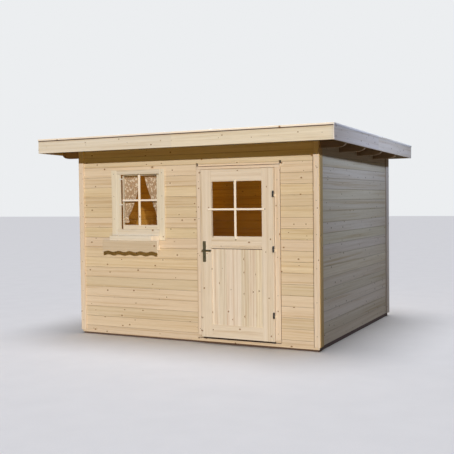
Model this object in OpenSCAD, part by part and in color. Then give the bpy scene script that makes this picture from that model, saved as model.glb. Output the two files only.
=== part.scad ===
// Wooden garden shed with a flat roof, a half-glazed door and a window with a flower box.
// The front looks to -Y, and the origin lies on the ground under the middle of the roof.

/* [Walls] */
// Width of the shed over its wall boards
shed_w = 3100; // [2950:10:3300]
// Depth of the shed over its wall boards
shed_d = 2800; // [2500:10:3200]
// Thickness of the wall boards
wall_t = 28; // [21:1:40]
// Height that one board course covers
course_h = 121; // [117:1:126]
// Least height of wall over the door leaf
over_door = 320; // [260:1:360]
// Thickness of the trim boards on corners, door and window
trim_t = 18; // [14:1:22]
// Width of a corner trim on the front and back
corner_front_w = 66; // [50:1:90]
// Width of a corner trim on the sides
corner_side_w = 120; // [95:1:140]

/* [Base] */
// Height of the beams and joists under the walls
base_h = 45; // [35:1:70]
// Width of the outer beams
beam_w = 70; // [60:1:95]
// Width of an inner joist
joist_w = 45; // [36:1:60]
// Number of joists between the two outer ones
inner_joists = 4; // [3:1:6]
// How far the beams stand back from the wall faces
beam_inset = 6; // [0:1:15]
// Thickness of the floor boards
floor_t = 19; // [16:1:28]

/* [Roof] */
// Roof edge in front of the front wall
eave_front = 412; // [300:1:500]
// Roof edge beyond each side wall
eave_side = 320; // [250:1:400]
// Roof edge behind the back wall
eave_back = 84; // [70:1:150]
// Fall of the roof to the back, in degrees
roof_fall = 0.8; // [0.5:0.1:1.5]
// Height of a fascia board
fascia_h = 150; // [130:1:165]
// Thickness of a fascia board
fascia_t = 18; // [15:1:25]
// Thickness of the strip on top of the fascia
cap_t = 20; // [14:1:28]
// Width of that strip
cap_w = 70; // [50:1:100]
// How far the strip stands out past the fascia
cap_lip = 5; // [2:1:8]
// Thickness of the roof boards
deck_t = 18; // [15:1:24]
// Thickness of the roofing felt
felt_t = 3; // [2:0.5:5]
// Height of a purlin
purlin_h = 172; // [168:1:190]
// Width of a purlin
purlin_w = 45; // [38:1:60]
// Number of purlins
purlins = 4; // [4:1:4]
// Length of the curved cut under a purlin's end
purlin_cut = 95; // [60:1:140]

/* [Door] */
// Middle of the door, to the right of the shed's middle
door_x = 603; // [500:1:680]
// Width of the door leaf
door_w = 900; // [800:1:940]
// Height of the door leaf
door_h = 1900; // [1840:1:1930]
// Thickness of the door leaf
door_t = 38; // [36:1:44]
// Underside of the leaf above the foot of the wall
door_lift = 33; // [25:1:40]
// How far the leaf stands out from the trim
door_proud = 25; // [20:1:30]
// Free gap around the moving leaf
door_gap = 5; // [5:0.5:8]
// Width of a stile and of the top rail
stile_w = 138; // [120:1:150]
// Height of the middle rail
mid_rail_h = 137; // [110:1:150]
// Underside of the middle rail above the underside of the leaf
mid_rail_lift = 1012; // [950:1:1080]
// Height of the bottom rail
bottom_rail_h = 147; // [120:1:180]
// Thickness of the boarded lower panel
panel_t = 16; // [12:1:20]
// Depth of the grooves that hold the panel and the panes
groove = 9; // [6:1:12]
// Height of the weather bar along the foot of the middle rail
drip_h = 26; // [18:1:34]
// How far the weather bar stands out
drip_out = 16; // [10:1:22]
// Thickness of the panes
glass_t = 4; // [3:0.5:6]
// Width of the trim around the door
door_trim_w = 58; // [50:1:65]
// Thickness of the boards that line the doorway
lining_t = 20; // [16:1:25]
// Overlap of the leaf on the lining, which stops it
stop_lap = 10; // [8:1:14]
// Foot of the door trim above the foot of the wall
door_trim_lift = 45; // [36:1:60]
// Height of the trim over the door
head_trim_h = 40; // [30:1:55]
// Width of the open notch beside each end of that trim
notch_w = 26; // [16:1:34]
// Height of that notch
notch_h = 34; // [20:1:45]

/* [Door fittings] */
// Lowest hinge above the underside of the leaf
hinge_low = 291; // [200:1:400]
// Middle hinge above the underside of the leaf
hinge_mid = 1015; // [900:1:1100]
// Highest hinge above the underside of the leaf
hinge_high = 1617; // [1500:1:1700]
// Distance of the hinge pins from the leaf's face
hinge_off = 15; // [14:0.5:20]
// Radius of a hinge knuckle
knuckle_r = 10; // [8:0.5:10]
// Height of a whole hinge
hinge_h = 66; // [60:2:90]
// Diameter of the hinge pins
pin_d = 8; // [6:0.5:9]
// Height of the handle plate
plate_h = 237; // [220:1:250]
// Width of the handle plate
plate_w = 40; // [32:1:46]
// Thickness of the handle plate
plate_t = 3; // [2:0.5:4]
// Underside of the handle plate above the underside of the leaf
plate_lift = 854; // [820:1:900]
// Radius of the handle plate's corners
plate_r = 9; // [4:1:14]
// Lever's axis from the edge of the leaf
lever_in = 45; // [38:1:60]
// Lever's axis above the underside of the plate
lever_lift = 135; // [120:1:150]
// Keyhole below the lever's axis
key_drop = 72; // [60:1:90]
// Length of the lever from its axis to its tip
lever_l = 111; // [95:1:125]
// Diameter of the lever's arm
lever_d = 14; // [11:0.5:16]
// Lever's outer side from the handle plate
lever_reach = 48; // [40:1:60]
// Diameter of the lever's spindle
spindle_d = 16; // [14:0.5:18]

/* [Window] */
// Middle of the window, to the right of the shed's middle
window_x = -710; // [-780:1:-640]
// Width of the sash
sash_w = 594; // [520:1:620]
// Height of the sash
sash_h = 667; // [620:1:690]
// Underside of the sash above the foot of the wall
sash_lift = 1252; // [1246:1:1280]
// Thickness of the sash
sash_t = 38; // [34:1:45]
// Width of the sash's upright on its hinge side
sash_hinge = 67; // [55:1:75]
// Width of the sash's other upright and bottom rail
sash_rail = 50; // [44:1:60]
// Height of the sash's top rail
sash_top = 28; // [24:1:40]
// Width of the casing boards beside the window
casing_w = 74; // [60:1:85]
// Height of the casing board over the window
casing_top_h = 55; // [40:1:70]
// How far the upper casing board laps over the sash
casing_lap = 14; // [0:1:18]
// Height of the casing board under the window
apron_h = 130; // [120:1:150]

/* [Flower box] */
// Width of the box's front board
box_w = 763; // [680:1:800]
// How far the front board stands out from the trim
box_d = 190; // [160:1:230]
// Height of the box's front board
box_h = 138; // [120:1:150]
// Top of the front board above the foot of the wall
box_top = 1128; // [1115:1:1140]
// Width of the trough behind the front board
tray_w = 578; // [500:1:620]
// Height of the trough over the front board's top
tray_over = 53; // [30:1:65]
// Thickness of the box's boards
box_t = 16; // [12:1:20]
// Number of waves along the front board's lower edge
box_waves = 5; // [3:1:6]
// Depth of those waves
wave_h = 14; // [8:1:28]

/* [Curtains] */
// Diameter of the curtain rod
rod_d = 10; // [8:1:14]
// Length of the rod beyond each side of the sash
rod_over = 35; // [25:1:45]
// Rod's distance from the sash
rod_off = 20; // [18:1:34]
// Rod's height over the sash
rod_lift = 8; // [6:1:14]
// Height of a curtain
curtain_h = 598; // [540:1:610]
// Width of a curtain
curtain_w = 235; // [180:1:250]
// Thickness of a gathered curtain
curtain_t = 24; // [16:1:30]

/* [Hidden] */
$fn = 48;

// Colours of the finishes
wood_front = "#d8c3a0";
wood_trim = "#dcc9a8";
wood_inside = "#b98f5f";
wood_treated = "#8a5a3c";
felt_grey = "#4b4b4d";
metal_black = "#2b2a2a";
pane_blue = "#b9c7c9";
cloth_white = "#efe6df";

// Heights from the ground
foot_z = base_h;
floor_z = base_h + floor_t;
door_need = door_lift + door_h + over_door;
window_need = sash_lift + sash_h + casing_top_h + purlin_h + rod_lift;
courses = ceil(max(door_need, window_need) / course_h);
wall_h = courses * course_h;
wall_top_z = foot_z + wall_h;
half_course = course_h / 2;

// Faces of the walls: outside and inside of the front and the back
roof_depth = eave_front + shed_d + eave_back;
front_y = -roof_depth / 2 + eave_front;
front_in_y = front_y + wall_t;
back_y = front_y + shed_d;
back_in_y = back_y - wall_t;
side_x = shed_w / 2;
side_in_x = side_x - wall_t;
trim_y = front_y - trim_t;

// Roof, in its own tilted frame: y runs back from the front wall, z up from under the boards
roof_x = side_x + eave_side;
fascia_x = roof_x - cap_lip;
deck_x = fascia_x - fascia_t;
fascia_y0 = -eave_front + cap_lip;
fascia_y1 = shed_d + eave_back - cap_lip;
deck_y0 = fascia_y0 + fascia_t;
deck_y1 = fascia_y1 - fascia_t;
fascia_top = deck_t + felt_t;
fascia_low = fascia_top - fascia_h;
purlin_bay = (shed_d - 2 * wall_t) / purlins;
purlin_play = purlin_h * sin(roof_fall);
beyond = 500;

// Doorway
door_z = foot_z + door_lift;
door_x0 = door_x - door_w / 2;
door_x1 = door_x + door_w / 2;
door_y0 = trim_y - door_proud;
door_y1 = door_y0 + door_t;
door_top_z = door_z + door_h;
clear_x0 = door_x0 + stop_lap;
clear_x1 = door_x1 - stop_lap;
clear_top_z = door_top_z - stop_lap;
rough_x0 = clear_x0 - lining_t;
rough_x1 = clear_x1 + lining_t;
rough_top_z = clear_top_z + lining_t;
sill_z = foot_z + half_course;
jamb_in_y = front_in_y + trim_t;
trim_foot_z = foot_z + door_trim_lift;
trim_head_z = door_top_z + door_gap;
trim_head_top_z = trim_head_z + head_trim_h;
trim_half_w = door_w / 2 + door_gap + door_trim_w;

// Door leaf
stile_x0 = door_x0 + stile_w;
stile_x1 = door_x1 - stile_w;
mid_rail_z = door_z + mid_rail_lift;
pane_z0 = mid_rail_z + mid_rail_h;
pane_z1 = door_top_z - stile_w;
panel_z0 = door_z + bottom_rail_h;
door_mid_y = (door_y0 + door_y1) / 2;

// Hinges and handle
hinge_x = door_x1 + door_gap / 2;
hinge_y = door_y0 - hinge_off;
hinge_heights = [door_z + hinge_low, door_z + hinge_mid, door_z + hinge_high];
pin_play = 0.3;
knuckle_gap = 2;
strap_t = 4;
plate_z = door_z + plate_lift;
lever_x = door_x0 + lever_in;
lever_z = plate_z + lever_lift;
spindle_play = 0.5;
groove_play = 1;

// Window and flower box
sash_z = foot_z + sash_lift;
sash_x0 = window_x - sash_w / 2;
sash_x1 = window_x + sash_w / 2;
sash_back = 16;
sash_y = front_y + sash_back;
sash_glass_y = sash_y + (sash_t - glass_t) / 2;
box_z1 = foot_z + box_top;
box_z0 = box_z1 - box_h;
box_x0 = window_x - box_w / 2;
box_y = trim_y - box_d;
tray_y = box_y + box_t;

// Curtains
rod_z = sash_z + sash_h + rod_lift;
rod_y = sash_y + sash_t + rod_off;
rod_l = sash_w + 2 * rod_over;
rod_foot = 24;
hang_play = 0.3;

// A block given by its two corners
module block(a, b) {
    translate(a) cube(b - a);
}

// Places children in the roof's tilted frame
module on_roof() {
    translate([0, front_y, wall_top_z]) rotate([-roof_fall, 0, 0]) children();
}

// Outline of a purlin's right half: flat below, then curved up to the foot of the fascia
function purlin_half(rise) = concat(
    [for (t = [0 : 15 : 90]) [
        deck_x - purlin_cut * (1 - sin(t)),
        -purlin_h + (purlin_h + fascia_low) * (1 - cos(t))
    ]],
    [[deck_x, rise]]
);

// Purlin number i, a board on edge under the roof boards; rise makes it taller, for a cut
module purlin(i, rise = 0) {
    half = purlin_half(rise);
    last = len(half) - 1;
    y0 = wall_t + purlin_play + i * purlin_bay;
    on_roof() translate([0, y0 + purlin_w, 0]) rotate([90, 0, 0]) linear_extrude(purlin_w)
        polygon(concat(half, [for (k = [0 : last]) [-half[last - k].x, half[last - k].y]]));
}

// Cuts a wall or trim off under the roof boards and lets the purlins through
module under_roof() {
    difference() {
        children();
        on_roof() block(
            [-roof_x - beyond, -beyond - eave_front, 0],
            [roof_x + beyond, roof_depth + beyond, beyond]
        );
        for (i = [0 : purlins - 1]) purlin(i, beyond);
    }
}

// Open notch in the front wall beside an end of the trim over the door
module head_notch(x) {
    block([x - notch_w / 2, front_y - 1, trim_head_top_z],
        [x + notch_w / 2, front_in_y + 1, trim_head_top_z + notch_h]);
}

// Full block of wall between two places along X in the front wall
module front_block(x0, x1, z0) {
    block([x0, front_y, z0], [x1, front_in_y, wall_top_z + beyond / 5]);
}

// Base and floor
module base_beams() {
    color(wood_treated) for (y = [front_y + beam_inset, back_y - beam_inset - beam_w])
        block([-side_x + beam_inset, y, 0], [side_x - beam_inset, y + beam_w, base_h]);
}

module base_joists() {
    y0 = front_y + beam_inset + beam_w;
    y1 = back_y - beam_inset - beam_w;
    outer_x = side_x - beam_inset - beam_w;
    pitch = 2 * outer_x / (inner_joists + 1);
    color(wood_treated) {
        for (x = [-outer_x - beam_w, outer_x]) block([x, y0, 0], [x + beam_w, y1, base_h]);
        for (i = [1 : inner_joists])
            block([-outer_x + i * pitch - joist_w / 2, y0, 0],
                [-outer_x + i * pitch + joist_w / 2, y1, base_h]);
    }
}

module floor_boards() {
    play = 5;
    color(wood_inside) block(
        [-side_in_x + play, front_in_y + play, base_h],
        [side_in_x - play, back_in_y - play, floor_z]
    );
}

// Walls
module front_wall_left() {
    color(wood_front) under_roof() difference() {
        front_block(-side_x, rough_x0, foot_z);
        block([sash_x0, front_y - 1, sash_z], [sash_x1, front_in_y + 1, sash_z + sash_h]);
        head_notch(door_x - trim_half_w);
    }
}

module front_wall_right() {
    color(wood_front) under_roof() difference() {
        front_block(rough_x1, side_x, foot_z);
        head_notch(door_x + trim_half_w);
    }
}

module front_wall_over_door() {
    color(wood_front) under_roof() front_block(rough_x0, rough_x1, rough_top_z);
}

module front_wall_under_door() {
    color(wood_front) block([rough_x0, front_y, foot_z], [rough_x1, front_in_y, sill_z]);
}

module side_wall(x0) {
    color(wood_front) under_roof()
        block([x0, front_in_y, foot_z], [x0 + wall_t, back_in_y, wall_top_z]);
}

module left_wall() {
    side_wall(-side_x);
}

module right_wall() {
    side_wall(side_in_x);
}

module back_wall() {
    color(wood_front) under_roof()
        block([-side_x, back_in_y, foot_z], [side_x, back_y, wall_top_z]);
}

// Corner trim: two boards joined to an angle over the corner at the front, facing +X
module corner_angle() {
    block([side_x + trim_t - corner_front_w, trim_y, foot_z],
        [side_x + trim_t, front_y, wall_top_z + beyond / 5]);
    block([side_x, trim_y, foot_z],
        [side_x + trim_t, trim_y + corner_side_w, wall_top_z + beyond / 5]);
}

// The same trim on the back corner, mirrored about the middle of the shed's depth
module back_corner_angle() {
    translate([0, front_y + back_y, 0]) mirror([0, 1, 0]) corner_angle();
}

module corner_trim_front_left() {
    color(wood_trim) under_roof() mirror([1, 0, 0]) corner_angle();
}

module corner_trim_front_right() {
    color(wood_trim) under_roof() corner_angle();
}

module corner_trim_back_left() {
    color(wood_trim) under_roof() mirror([1, 0, 0]) back_corner_angle();
}

module corner_trim_back_right() {
    color(wood_trim) under_roof() back_corner_angle();
}

// Jamb of the doorway for the left side: lining with a trim board on each wall face
module door_jamb() {
    trim_x0 = door_x - trim_half_w;
    block([rough_x0, front_y, sill_z], [clear_x0, jamb_in_y, clear_top_z]);
    block([trim_x0, trim_y, trim_foot_z], [trim_x0 + door_trim_w, front_y, trim_head_z]);
    block([trim_x0, front_in_y, floor_z], [rough_x0, jamb_in_y, trim_head_z]);
}

module door_frame_left() {
    color(wood_trim) door_jamb();
}

module door_frame_right() {
    color(wood_trim) translate([2 * door_x, 0, 0]) mirror([1, 0, 0]) door_jamb();
}

module door_frame_head() {
    color(wood_trim) {
        block([rough_x0, front_y, clear_top_z], [rough_x1, jamb_in_y, rough_top_z]);
        for (y = [trim_y, front_in_y])
            block([door_x - trim_half_w, y, trim_head_z],
                [door_x + trim_half_w, y + trim_t, trim_head_top_z]);
    }
}

module door_threshold() {
    color(wood_trim)
        block([clear_x0, front_y, sill_z], [clear_x1, jamb_in_y, sill_z + lining_t]);
}

// Window
module window_casing() {
    color(wood_trim) difference() {
        block([sash_x0 - casing_w, trim_y, sash_z - apron_h],
            [sash_x1 + casing_w, front_y, sash_z + sash_h - casing_lap + casing_top_h]);
        block([sash_x0, trim_y - 1, sash_z], [sash_x1, front_y + 1, sash_z + sash_h - casing_lap]);
    }
}

// Pane of a frame that is open between two corners in X and Z, grown into its grooves
module pane(x0, x1, z0, z1, y, thick, grow) {
    block([x0 - grow, y, z0 - grow], [x1 + grow, y + thick, z1 + grow]);
}

module window_pane(grow) {
    pane(sash_x0 + sash_hinge, sash_x1 - sash_rail, sash_z + sash_rail, sash_z + sash_h - sash_top,
        sash_glass_y, glass_t, grow);
}

module window_sash() {
    color(wood_trim) difference() {
        block([sash_x0, sash_y, sash_z], [sash_x1, sash_y + sash_t, sash_z + sash_h]);
        block([sash_x0 + sash_hinge, sash_y - 1, sash_z + sash_rail],
            [sash_x1 - sash_rail, sash_y + sash_t + 1, sash_z + sash_h - sash_top]);
        window_pane(groove);
    }
}

module window_glass() {
    color(pane_blue) window_pane(groove - groove_play);
}

// Flower box: a trough with spacers on the wall, and a front board with a wavy edge
module flower_box_tray() {
    x0 = window_x - tray_w / 2;
    x1 = window_x + tray_w / 2;
    tray_z = box_z0 + wave_h;
    tray_z1 = box_z1 + tray_over;
    spacer_w = 2 * box_t;
    spacer_h = 60;
    color(wood_trim) {
        difference() {
            block([x0, tray_y, tray_z], [x1, trim_y, tray_z1]);
            block([x0 + box_t, tray_y + box_t, tray_z + box_t], [x1 - box_t, trim_y - box_t, tray_z1 + 1]);
        }
        for (x = [x0, x1 - spacer_w])
            block([x, trim_y - box_t, tray_z], [x + spacer_w, front_y, tray_z + spacer_h]);
    }
}

module flower_box_front() {
    steps = 12 * box_waves;
    edge = [for (i = [0 : steps])
        [box_w * i / steps, wave_h / 2 * (1 - cos(360 * box_waves * i / steps))]];
    color(wood_trim) translate([box_x0, box_y + box_t, box_z0])
        rotate([90, 0, 0]) linear_extrude(box_t) polygon(concat(edge, [[box_w, box_h], [0, box_h]]));
}

// Curtains: a rod on two feet, and a gathered cloth on each side of the window
module curtain_rod() {
    color(metal_black) {
        translate([window_x - rod_l / 2, rod_y, rod_z]) rotate([0, 90, 0]) cylinder(d = rod_d, h = rod_l);
        for (x = [window_x - rod_l / 2, window_x + rod_l / 2 - rod_foot / 2])
            block([x, front_in_y, rod_z - rod_foot / 2], [x + rod_foot / 2, rod_y, rod_z + rod_foot / 2]);
    }
}

module curtain(x0) {
    z1 = rod_z - rod_d / 2 - hang_play;
    color(cloth_white) block([x0, rod_y - curtain_t / 2, z1 - curtain_h],
        [x0 + curtain_w, rod_y + curtain_t / 2, z1]);
}

module curtain_left() {
    curtain(sash_x0 + sash_hinge - sash_rail / 2);
}

module curtain_right() {
    curtain(sash_x1 - sash_rail / 2 - curtain_w);
}

// Roof
module purlin_1() {
    color(wood_inside) purlin(0);
}

module purlin_2() {
    color(wood_inside) purlin(1);
}

module purlin_3() {
    color(wood_inside) purlin(2);
}

module purlin_4() {
    color(wood_inside) purlin(3);
}

module roof_deck() {
    color(wood_inside) on_roof() block([-deck_x, deck_y0, 0], [deck_x, deck_y1, deck_t]);
}

module roof_felt() {
    color(felt_grey) on_roof()
        block([-deck_x, deck_y0, deck_t], [deck_x, deck_y1, fascia_top]);
}

module fascia_front() {
    color(wood_front) on_roof()
        block([-fascia_x, fascia_y0, fascia_low], [fascia_x, deck_y0, fascia_top]);
}

module fascia_back() {
    color(wood_front) on_roof()
        block([-fascia_x, deck_y1, fascia_low], [fascia_x, fascia_y1, fascia_top]);
}

module fascia_left() {
    color(wood_front) on_roof()
        block([-fascia_x, deck_y0, fascia_low], [-deck_x, deck_y1, fascia_top]);
}

module fascia_right() {
    color(wood_front) on_roof()
        block([deck_x, deck_y0, fascia_low], [fascia_x, deck_y1, fascia_top]);
}

// Strip on the roof's front or back edge, from one side to the other
module cap_across(y0) {
    color(wood_trim) on_roof()
        block([-roof_x, y0, fascia_top], [roof_x, y0 + cap_w, fascia_top + cap_t]);
}

// Strip on a side edge of the roof, between the other two
module cap_along(x0) {
    color(wood_trim) on_roof()
        block([x0, fascia_y0 - cap_lip + cap_w, fascia_top],
            [x0 + cap_w, fascia_y1 + cap_lip - cap_w, fascia_top + cap_t]);
}

module roof_cap_front() {
    cap_across(fascia_y0 - cap_lip);
}

module roof_cap_back() {
    cap_across(fascia_y1 + cap_lip - cap_w);
}

module roof_cap_left() {
    cap_along(-roof_x);
}

module roof_cap_right() {
    cap_along(roof_x - cap_w);
}

// Hinges: the lower half with the pin is on the frame, the upper half is on the leaf
module hinge_brackets() {
    foot_w = 13;
    pin_short = 4;
    web_x = hinge_x + knuckle_r - strap_t;
    color(metal_black) for (z = hinge_heights) {
        z0 = z - hinge_h / 2;
        z1 = z - knuckle_gap / 2;
        translate([hinge_x, hinge_y, z0]) cylinder(r = knuckle_r, h = z1 - z0);
        translate([hinge_x, hinge_y, z0]) cylinder(d = pin_d, h = hinge_h - pin_short);
        block([web_x, hinge_y, z0], [web_x + strap_t, trim_y, z1]);
        block([web_x, trim_y - strap_t, z0], [web_x + foot_w, trim_y, z1]);
    }
}

module door_knuckles() {
    strap_w = 9;
    color(metal_black) for (z = hinge_heights) {
        z0 = z + knuckle_gap / 2;
        z1 = z + hinge_h / 2;
        difference() {
            union() {
                translate([hinge_x, hinge_y, z0]) cylinder(r = knuckle_r, h = z1 - z0);
                block([hinge_x - knuckle_r, hinge_y, z0], [hinge_x - knuckle_r + strap_t, door_y0, z1]);
                block([hinge_x - knuckle_r - strap_w, door_y0 - strap_t, z0],
                    [hinge_x - knuckle_r + strap_t, door_y0, z1]);
            }
            translate([hinge_x, hinge_y, z0 - 1]) cylinder(d = pin_d + 2 * pin_play, h = hinge_h);
        }
    }
}

// Door leaf
module spindle_bore() {
    translate([lever_x, door_y0 - beyond, lever_z]) rotate([-90, 0, 0])
        cylinder(d = spindle_d + 2 * spindle_play, h = 2 * beyond);
}

module door_pane(grow) {
    pane(stile_x0, stile_x1, pane_z0, pane_z1, door_mid_y - glass_t / 2, glass_t, grow);
}

module door_boards(grow) {
    pane(stile_x0, stile_x1, panel_z0, mid_rail_z, door_mid_y - panel_t / 2, panel_t, grow);
}

module door_stiles() {
    color(wood_front) difference() {
        for (x = [door_x0, stile_x1])
            block([x, door_y0, door_z], [x + stile_w, door_y1, door_top_z]);
        spindle_bore();
        door_pane(groove);
        door_boards(groove);
    }
}

// Weather bar with a sloping top, along the foot of the middle rail
module weather_bar() {
    slope = drip_h / 3;
    translate([stile_x0, door_y0, mid_rail_z]) rotate([90, 0, 90]) linear_extrude(stile_x1 - stile_x0)
        polygon([[1, 0], [-drip_out, 0], [-drip_out, drip_h - slope], [0, drip_h], [1, drip_h]]);
}

module door_rails() {
    color(wood_front) {
        difference() {
            for (z = [[door_z, panel_z0], [mid_rail_z, pane_z0], [pane_z1, door_top_z]])
                block([stile_x0, door_y0, z[0]], [stile_x1, door_y1, z[1]]);
            door_pane(groove);
            door_boards(groove);
        }
        weather_bar();
    }
}

module door_panel() {
    color(wood_front) door_boards(groove - groove_play);
}

module door_glass() {
    color(pane_blue) door_pane(groove - groove_play);
}

// Outline of the handle plate about the lever's axis, with round corners and a keyhole
module plate_outline() {
    key_r = 4;
    key_slot = 14;
    difference() {
        union() {
            translate([-plate_w / 2 + plate_r, -lever_lift]) square([plate_w - 2 * plate_r, plate_h]);
            translate([-plate_w / 2, plate_r - lever_lift]) square([plate_w, plate_h - 2 * plate_r]);
            for (x = [plate_r - plate_w / 2, plate_w / 2 - plate_r])
                for (z = [plate_r, plate_h - plate_r]) translate([x, z - lever_lift]) circle(r = plate_r);
        }
        translate([0, -key_drop]) circle(r = key_r);
        translate([-key_r / 2, -key_drop - key_slot]) square([key_r, key_slot]);
    }
}

module door_handle_plates() {
    color(metal_black) difference() {
        for (y = [door_y0, door_y1 + plate_t])
            translate([lever_x, y, lever_z]) rotate([90, 0, 0]) linear_extrude(plate_t) plate_outline();
        spindle_bore();
    }
}

// Arm of a lever along X with a round tip
module lever_arm() {
    rotate([0, 90, 0]) rotate_extrude() intersection() {
        union() {
            translate([-lever_d / 2, 0]) square([lever_d, lever_l - lever_d / 2]);
            translate([0, lever_l - lever_d / 2]) circle(d = lever_d);
        }
        square([lever_d, lever_l]);
    }
}

// Lever handles on both sides, on one spindle through the leaf
module door_lever() {
    y0 = door_y0 - plate_t - lever_reach;
    y1 = door_y1 + plate_t + lever_reach;
    color(metal_black) {
        translate([lever_x, y0, lever_z]) rotate([-90, 0, 0]) cylinder(d = spindle_d, h = y1 - y0);
        for (y = [y0 + spindle_d / 2, y1 - spindle_d / 2])
            translate([lever_x, y, lever_z]) lever_arm();
    }
}

base_beams();
base_joists();
floor_boards();
front_wall_left();
front_wall_right();
front_wall_over_door();
front_wall_under_door();
left_wall();
right_wall();
back_wall();
corner_trim_front_left();
corner_trim_front_right();
corner_trim_back_left();
corner_trim_back_right();
door_frame_left();
door_frame_right();
door_frame_head();
door_threshold();
window_casing();
window_sash();
window_glass();
flower_box_tray();
flower_box_front();
curtain_rod();
curtain_left();
curtain_right();
purlin_1();
purlin_2();
purlin_3();
purlin_4();
roof_deck();
roof_felt();
fascia_front();
fascia_back();
fascia_left();
fascia_right();
roof_cap_front();
roof_cap_back();
roof_cap_left();
roof_cap_right();
hinge_brackets();
door_stiles();
door_rails();
door_panel();
door_glass();
door_knuckles();
door_handle_plates();
door_lever();
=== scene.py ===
"""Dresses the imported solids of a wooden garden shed: boards, trim, glazing, curtains, fittings, stage."""
import math

import bmesh
import bpy
from bpy.props import FloatProperty, FloatVectorProperty, IntProperty, PointerProperty
from mathutils import Matrix, Vector


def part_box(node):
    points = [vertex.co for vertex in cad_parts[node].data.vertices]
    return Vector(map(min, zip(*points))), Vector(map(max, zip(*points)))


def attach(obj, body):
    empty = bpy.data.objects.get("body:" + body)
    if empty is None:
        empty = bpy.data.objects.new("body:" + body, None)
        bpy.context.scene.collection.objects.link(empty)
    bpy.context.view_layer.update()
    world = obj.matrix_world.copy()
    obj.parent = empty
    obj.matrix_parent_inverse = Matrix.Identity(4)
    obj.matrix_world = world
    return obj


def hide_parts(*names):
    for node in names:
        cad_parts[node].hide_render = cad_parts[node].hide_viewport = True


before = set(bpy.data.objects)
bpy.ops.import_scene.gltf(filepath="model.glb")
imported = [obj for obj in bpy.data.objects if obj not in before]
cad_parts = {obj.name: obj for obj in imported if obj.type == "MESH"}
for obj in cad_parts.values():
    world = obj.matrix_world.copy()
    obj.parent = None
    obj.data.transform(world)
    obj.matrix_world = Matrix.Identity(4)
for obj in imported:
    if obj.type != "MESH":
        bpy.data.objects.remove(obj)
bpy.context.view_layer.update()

bl_info = {
    "name": "Garden shed",
    "version": (1, 0, 0),
    "blender": (4, 5, 0),
    "location": "View3D > Sidebar > Shed",
    "description": "Dresses the packed solids of a wooden garden shed",
    "category": "Object",
}

X, Y, Z = 0, 1, 2
QUARTER = math.pi / 2
# Depth that panes and the door's panel sit in their grooves
HOLD = 0.008


def linear(code):
    """Linear colour of an sRGB hex value."""
    parts = [int(code[i:i + 2], 16) / 255 for i in (1, 3, 5)]
    return tuple(c / 12.92 if c <= 0.04045 else ((c + 0.055) / 1.055) ** 2.4 for c in parts)


def tinted(colour, red=1.0, green=1.0, blue=1.0):
    """A colour times a tint, with full alpha, as a colour socket takes it."""
    return (colour[0] * red, colour[1] * green, colour[2] * blue, 1.0)


def metres(name, description, default):
    """A length that a user may change."""
    return FloatProperty(name=name, description=description, default=default, unit="LENGTH")


def degrees(name, description, default):
    """An angle that a user may change."""
    return FloatProperty(name=name, description=description, default=math.radians(default), subtype="ANGLE")


def amount(name, description, default):
    """A plain number that a user may change."""
    return FloatProperty(name=name, description=description, default=default)


def shade(name, description, code):
    """A colour that a user may change."""
    return FloatVectorProperty(name=name, description=description, default=linear(code), subtype="COLOR")


class ShedSizes(bpy.types.PropertyGroup):
    """Sizes of what is added to the solids."""

    course: metres("Board course", "Height that one wall board covers", 0.121)
    joint: metres("Joint depth", "Depth of the V joint between boards", 0.0035)
    ease: metres("Eased edge", "Width of the rounded edges of planed timber", 0.0025)
    floor_board: metres("Floor board", "Width that one floor board covers", 0.111)
    roof_board: metres("Roof board", "Width that one roof board covers", 0.096)
    panel_boards: IntProperty(
        name="Door panel boards", description="Number of upright boards in the door's lower panel", default=7)
    roof_fall: degrees("Roof fall", "Slope of the roof to the back", 0.8)
    screw: metres("Screw head", "Diameter of the screw heads", 0.009)
    folds: IntProperty(
        name="Curtain folds", description="Number of folds in each gathered curtain", default=9)
    felt_sheet: metres("Felt sheet", "Width of a roofing felt sheet up to the next lap", 0.92)


class ShedColours(bpy.types.PropertyGroup):
    """Base colours of the finishes."""

    wall: shade("Wall boards", "Untreated spruce boards", "#d6c3a1")
    trim: shade("Trim", "Planed trim, side fascia and corner boards", "#dccbaf")
    # Painted shade: the roof boards' colour is darkened for the shade under the roof.
    eaves_painted_shade: shade("Roof boards", "Sawn boards under the roof", "#7f5f42")
    # Purlins are darker than the wall boards, in part as painted shade under the roof.
    purlin: shade("Purlins", "Sawn purlins under the roof", "#a98a62")
    # Painted shade: the golden, darker side of the front right corner board stands in for how light falls on
    # it.
    edge: shade("Corner side", "Golden side of the front right corner board", "#c8a567")
    window: shade("Window", "Pale casing, sash, front fascia and flower box tray", "#ddd4b9")
    # The flower box board is a little darker than the wall boards, in part as painted shade.
    box: shade("Flower box", "Front board of the flower box", "#cbb996")
    # Glazing bars and roof caps have this pale colour; on the ends of the front fascia and the flower box it
    # is a painted highlight.
    bar: shade("Glazing bars", "Pale glazing bars and freshly cut ends", "#f2e8d0")
    door: shade("Door", "Door leaf", "#dccfb5")
    # Painted shade: faces inside the room take this darker golden colour for the room's warm shade.
    inside: shade("Inside", "Wood inside the room, golden with age", "#c08f3a")
    # The bearers' own dark colour; it also fills the dark strips of painted shadow under the cap, bead and
    # door trim.
    treated: shade("Base timber", "Pressure-treated bearers, and dark joints", "#5f4a3c")
    # Painted shadow: this near-black tone fills the strips under the door leaf and its trim, where their
    # shadow falls.
    tarred: shade("Drip rail", "Tarred rail under the door leaf", "#2a1505")
    felt: shade("Roofing felt", "Mineral felt", "#4f4f52")
    metal: shade("Hinges", "Black powder-coated steel", "#151312")
    handle: shade("Handle", "Dark nickel of the handle and blued screws", "#70684d")
    zinc: shade("Zinc", "Zinc-plated window hinges", "#d3cec0")
    glass: shade("Glass", "Tint of the panes", "#6a5a2c")
    cloth: shade("Curtains", "Lace of the curtains", "#dccdb3")
    ground: shade("Floor", "Studio floor", "#e9e7e3")


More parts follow.
